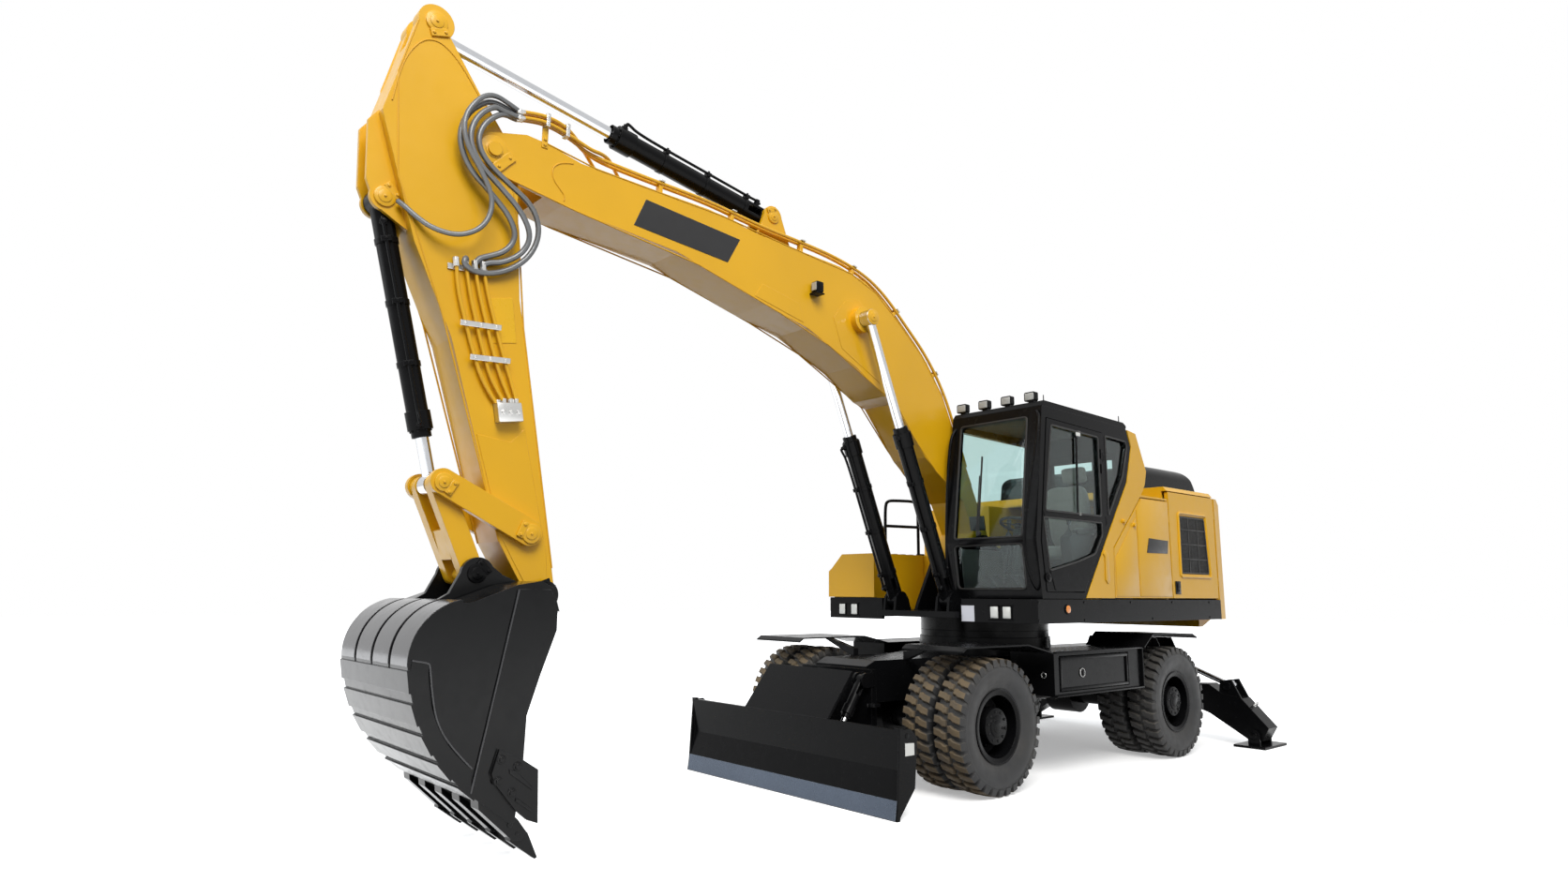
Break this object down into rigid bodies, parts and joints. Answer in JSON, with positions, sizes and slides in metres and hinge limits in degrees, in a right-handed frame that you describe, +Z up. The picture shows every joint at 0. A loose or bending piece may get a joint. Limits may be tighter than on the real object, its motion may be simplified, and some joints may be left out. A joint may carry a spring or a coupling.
{
  "type": "wheeled excavator",
  "caption": "Wheeled hydraulic excavator on twin tyres, with a hollow cab, a one-piece boom, arm and bucket, a dozer blade and folding outriggers.",
  "frame": {"origin": "on the ground, under the slew axis, midway between the axles", "axes": "+X forward, towards the blade, +Y to the operator's left, the cab's side, +Z up"},
  "size_m": [9.2168, 3.15, 5.3072],
  "materials": {
    "black_paint": "gloss",
    "yellow_paint": "gloss",
    "tyre": "matte",
    "chrome": "polished",
    "glass": "clear",
    "cab_trim": "matte",
    "engine": "matte"
  },
  "bodies": {
    "chassis": {"chassis_frame": "black_paint", "blade_bracket": "black_paint", "outrigger_frame": "black_paint", "mudguards": "black_paint", "tool_boxes": "black_paint", "axles": "black_paint", "driveline": "black_paint"},
    "toolbox_door_left": {"toolbox_door_left": "black_paint"},
    "knuckle_left": {"knuckle_left": "black_paint"},
    "wheel_front_left": {"tyres_front_left": "tyre", "rims_front_left": "black_paint"},
    "wheel_rear_left": {"tyres_rear_left": "tyre", "rims_rear_left": "black_paint"},
    "toolbox_door_right": {"toolbox_door_right": "black_paint"},
    "knuckle_right": {"knuckle_right": "black_paint"},
    "wheel_front_right": {"tyres_front_right": "tyre", "rims_front_right": "black_paint"},
    "wheel_rear_right": {"tyres_rear_right": "tyre", "rims_rear_right": "black_paint"},
    "blade": {"blade": "black_paint"},
    "blade_barrels": {"blade_cylinder_barrels": "black_paint"},
    "blade_rods": {"blade_cylinder_rods": "chrome"},
    "outrigger_leg_left": {"outrigger_leg_left": "black_paint"},
    "outrigger_pad_left": {"outrigger_pad_left": "black_paint"},
    "outrigger_barrel_left": {"outrigger_barrel_left": "black_paint"},
    "outrigger_rod_left": {"outrigger_rod_left": "chrome"},
    "outrigger_leg_right": {"outrigger_leg_right": "black_paint"},
    "outrigger_pad_right": {"outrigger_pad_right": "black_paint"},
    "outrigger_barrel_right": {"outrigger_barrel_right": "black_paint"},
    "outrigger_rod_right": {"outrigger_rod_right": "chrome"},
    "upper": {"revolving_frame": "black_paint", "body_shell": "yellow_paint", "counterweight": "yellow_paint", "tanks_and_tool_case": "yellow_paint", "engine_block": "engine", "cab_left": "black_paint", "cab_right": "black_paint", "cab_front": "black_paint", "cab_rear": "black_paint", "cab_floor": "black_paint", "cab_roof": "black_paint", "cab_glass": "glass", "seat_and_controls": "cab_trim"},
    "hood": {"engine_hood": "black_paint"},
    "left_front_door": {"left_front_door": "yellow_paint"},
    "left_rear_door": {"left_rear_door": "yellow_paint"},
    "right_rear_door": {"right_rear_door": "yellow_paint"},
    "cab_door": {"cab_door": "black_paint", "cab_door_glass": "glass"},
    "boom": {"boom": "yellow_paint"},
    "boom_barrels": {"boom_cylinder_barrels": "black_paint"},
    "boom_rods": {"boom_cylinder_rods": "chrome"},
    "arm": {"arm": "yellow_paint"},
    "arm_barrel": {"arm_cylinder_barrel": "black_paint"},
    "arm_rod": {"arm_cylinder_rod": "chrome"},
    "bucket": {"bucket": "black_paint"},
    "bucket_barrel": {"bucket_cylinder_barrel": "black_paint"},
    "bucket_rod": {"bucket_cylinder_rod": "chrome"},
    "idlers": {"idler_links": "yellow_paint"},
    "bucket_link": {"bucket_link": "yellow_paint"}
  },
  "joints": [
    {"name": "toolbox_door_left_hinge", "type": "hinge", "parent": "chassis", "child": "toolbox_door_left", "pos_m": [-0.015, 1.188, 0.741], "axis": [-1, 0, 0], "range_deg": [0, 95]},
    {"name": "steer_left", "type": "hinge", "parent": "chassis", "child": "knuckle_left", "pos_m": [1.44, 0.62, 0.5275], "axis": [0, 0, 1], "range_deg": [-30, 30]},
    {"name": "wheel_front_left_spin", "type": "hinge", "parent": "knuckle_left", "child": "wheel_front_left", "pos_m": [1.44, 0.95, 0.5275], "axis": [0, 1, 0], "continuous": true},
    {"name": "wheel_rear_left_spin", "type": "hinge", "parent": "chassis", "child": "wheel_rear_left", "pos_m": [-1.44, 0.95, 0.5275], "axis": [0, 1, 0], "continuous": true},
    {"name": "toolbox_door_right_hinge", "type": "hinge", "parent": "chassis", "child": "toolbox_door_right", "pos_m": [-0.015, -1.188, 0.741], "axis": [1, 0, 0], "range_deg": [0, 95]},
    {"name": "steer_right", "type": "hinge", "parent": "chassis", "child": "knuckle_right", "pos_m": [1.44, -0.62, 0.5275], "axis": [0, 0, 1], "range_deg": [-30, 30]},
    {"name": "wheel_front_right_spin", "type": "hinge", "parent": "knuckle_right", "child": "wheel_front_right", "pos_m": [1.44, -0.95, 0.5275], "axis": [0, 1, 0], "continuous": true},
    {"name": "wheel_rear_right_spin", "type": "hinge", "parent": "chassis", "child": "wheel_rear_right", "pos_m": [-1.44, -0.95, 0.5275], "axis": [0, 1, 0], "continuous": true},
    {"name": "blade_lift", "type": "hinge", "parent": "chassis", "child": "blade", "pos_m": [2.11, 0, 0.42], "axis": [0, -1, 0], "range_deg": [-10, 30]},
    {"name": "blade_barrel_pin", "type": "hinge", "parent": "chassis", "child": "blade_barrels", "pos_m": [2.11, 0, 0.86], "axis": [0, -1, 0], "range_deg": [-40, 40]},
    {"name": "blade_rod_slide", "type": "slide", "parent": "blade_barrels", "child": "blade_rods", "axis": [0.5665, 0, -0.824], "range_m": [-0.25, 0.1]},
    {"name": "outrigger_left_swing", "type": "hinge", "parent": "chassis", "child": "outrigger_leg_left", "pos_m": [-2.8, 0.5, 0.52], "axis": [1, 0, 0], "range_deg": [-6, 50]},
    {"name": "outrigger_left_pad_tilt", "type": "hinge", "parent": "outrigger_leg_left", "child": "outrigger_pad_left", "pos_m": [-2.8, 1.415, 0.115], "axis": [1, 0, 0], "range_deg": [-25, 25]},
    {"name": "outrigger_left_barrel_pin", "type": "hinge", "parent": "chassis", "child": "outrigger_barrel_left", "pos_m": [-2.8, 0.1, 1.01], "axis": [1, 0, 0], "range_deg": [-60, 60]},
    {"name": "outrigger_left_rod_slide", "type": "slide", "parent": "outrigger_barrel_left", "child": "outrigger_rod_left", "axis": [0, 0.9315, -0.3637], "range_m": [-0.45, 0.1]},
    {"name": "outrigger_right_swing", "type": "hinge", "parent": "chassis", "child": "outrigger_leg_right", "pos_m": [-2.8, -0.5, 0.52], "axis": [-1, 0, 0], "range_deg": [-6, 50]},
    {"name": "outrigger_right_pad_tilt", "type": "hinge", "parent": "outrigger_leg_right", "child": "outrigger_pad_right", "pos_m": [-2.8, -1.415, 0.115], "axis": [-1, 0, 0], "range_deg": [-25, 25]},
    {"name": "outrigger_right_barrel_pin", "type": "hinge", "parent": "chassis", "child": "outrigger_barrel_right", "pos_m": [-2.8, -0.1, 1.01], "axis": [-1, 0, 0], "range_deg": [-60, 60]},
    {"name": "outrigger_right_rod_slide", "type": "slide", "parent": "outrigger_barrel_right", "child": "outrigger_rod_right", "axis": [0, -0.9315, -0.3637], "range_m": [-0.45, 0.1]},
    {"name": "slew", "type": "hinge", "parent": "chassis", "child": "upper", "pos_m": [0, 0, 1.215], "axis": [0, 0, 1], "continuous": true},
    {"name": "hood_hinge", "type": "hinge", "parent": "upper", "child": "hood", "pos_m": [-1.571, 0, 2.668], "axis": [0, 1, 0], "range_deg": [0, 60]},
    {"name": "left_front_door_hinge", "type": "hinge", "parent": "upper", "child": "left_front_door", "pos_m": [-1.44, 1.2415, 2], "axis": [0, 0, 1], "range_deg": [0, 95]},
    {"name": "left_rear_door_hinge", "type": "hinge", "parent": "upper", "child": "left_rear_door", "pos_m": [-2.446, 1.2415, 2], "axis": [0, 0, 1], "range_deg": [0, 95]},
    {"name": "right_rear_door_hinge", "type": "hinge", "parent": "upper", "child": "right_rear_door", "pos_m": [-2.446, -1.2415, 2], "axis": [0, 0, -1], "range_deg": [0, 95]},
    {"name": "cab_door_hinge", "type": "hinge", "parent": "upper", "child": "cab_door", "pos_m": [-0.241, 1.238, 2.5], "axis": [0, 0, 1], "range_deg": [0, 100]},
    {"name": "boom_lift", "type": "hinge", "parent": "upper", "child": "boom", "pos_m": [0.28, 0, 2], "axis": [0, -1, 0], "range_deg": [-58, 19]},
    {"name": "boom_barrel_pin", "type": "hinge", "parent": "upper", "child": "boom_barrels", "pos_m": [0.93, 0, 1.5], "axis": [0, -1, 0], "range_deg": [-60, 60]},
    {"name": "boom_rod_slide", "type": "slide", "parent": "boom_barrels", "child": "boom_rods", "axis": [0.3811, 0, 0.9245], "range_m": [-0.9, 0.6]},
    {"name": "arm_swing", "type": "hinge", "parent": "boom", "child": "arm", "pos_m": [5.37, 0, 4.43], "axis": [0, 1, 0], "range_deg": [-80, 25]},
    {"name": "arm_barrel_pin", "type": "hinge", "parent": "boom", "child": "arm_barrel", "pos_m": [2.87, 0, 4.7], "axis": [0, 1, 0], "range_deg": [-30, 30]},
    {"name": "arm_rod_slide", "type": "slide", "parent": "arm_barrel", "child": "arm_rod", "axis": [0.9862, 0, 0.1657], "range_m": [-1.3, 0.7]},
    {"name": "bucket_curl", "type": "hinge", "parent": "arm", "child": "bucket", "pos_m": [4.855, 0, 1.525], "axis": [0, 1, 0], "range_deg": [-20, 110]},
    {"name": "idler_pin", "type": "hinge", "parent": "arm", "child": "idlers", "pos_m": [4.977, 0, 1.914], "axis": [0, 1, 0], "range_deg": [-40, 100]},
    {"name": "bucket_link_pin", "type": "hinge", "parent": "idlers", "child": "bucket_link", "pos_m": [5.56, 0, 2.2], "axis": [0, 1, 0], "range_deg": [-80, 40]},
    {"name": "bucket_barrel_pin", "type": "hinge", "parent": "arm", "child": "bucket_barrel", "pos_m": [6, 0, 3.948], "axis": [0, 1, 0], "range_deg": [-15, 15]},
    {"name": "bucket_rod_slide", "type": "slide", "parent": "bucket_barrel", "child": "bucket_rod", "axis": [-0.2441, 0, -0.9697], "range_m": [-0.4, 1]}
  ],
  "couplings": [
    {"joint": "steer_right", "follows": "steer_left", "ratio": 1},
    {"joint": "blade_barrel_pin", "follows": "blade_lift", "ratio": 0.3608},
    {"joint": "blade_rod_slide", "follows": "blade_lift", "m_per_rad": -0.2729},
    {"joint": "outrigger_left_barrel_pin", "follows": "outrigger_left_swing", "ratio": 0.5147},
    {"joint": "outrigger_left_rod_slide", "follows": "outrigger_left_swing", "m_per_rad": -0.405},
    {"joint": "outrigger_right_barrel_pin", "follows": "outrigger_right_swing", "ratio": 0.5147},
    {"joint": "outrigger_right_rod_slide", "follows": "outrigger_right_swing", "m_per_rad": -0.405},
    {"joint": "boom_barrel_pin", "follows": "boom_lift", "ratio": 1.0334},
    {"joint": "boom_rod_slide", "follows": "boom_lift", "m_per_rad": 0.7451},
    {"joint": "arm_barrel_pin", "follows": "arm_swing", "ratio": 0.0641},
    {"joint": "arm_rod_slide", "follows": "arm_swing", "m_per_rad": 0.742},
    {"joint": "idler_pin", "follows": "bucket_curl", "ratio": 0.79},
    {"joint": "bucket_link_pin", "follows": "bucket_curl", "ratio": -0.5},
    {"joint": "bucket_barrel_pin", "follows": "bucket_curl", "ratio": -0.03},
    {"joint": "bucket_rod_slide", "follows": "bucket_curl", "m_per_rad": 0.455}
  ]
}
